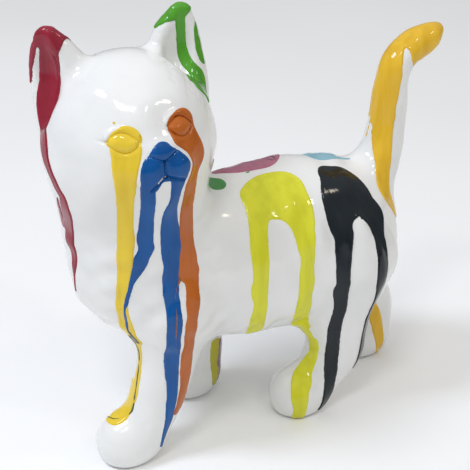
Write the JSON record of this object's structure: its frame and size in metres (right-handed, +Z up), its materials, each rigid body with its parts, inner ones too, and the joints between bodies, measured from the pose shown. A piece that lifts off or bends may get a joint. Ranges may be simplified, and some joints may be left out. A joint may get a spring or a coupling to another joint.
{
  "type": "ceramic cat statue",
  "caption": "Glazed ceramic walking kitten with raised tail and head turned over its left side, decorated with glossy paint drips; stands on its own paws.",
  "frame": {"origin": "on the floor, in the middle of the bounding box of the whole cat", "axes": "+Z up, the cat walks towards -Y, its left side and its face look towards +X"},
  "size_m": [0.1022, 0.2536, 0.2611],
  "materials": {
    "white_glaze": "high gloss, slight orange peel"
  },
  "bodies": {
    "root": {"cat": "white_glaze"}
  },
  "joints": []
}
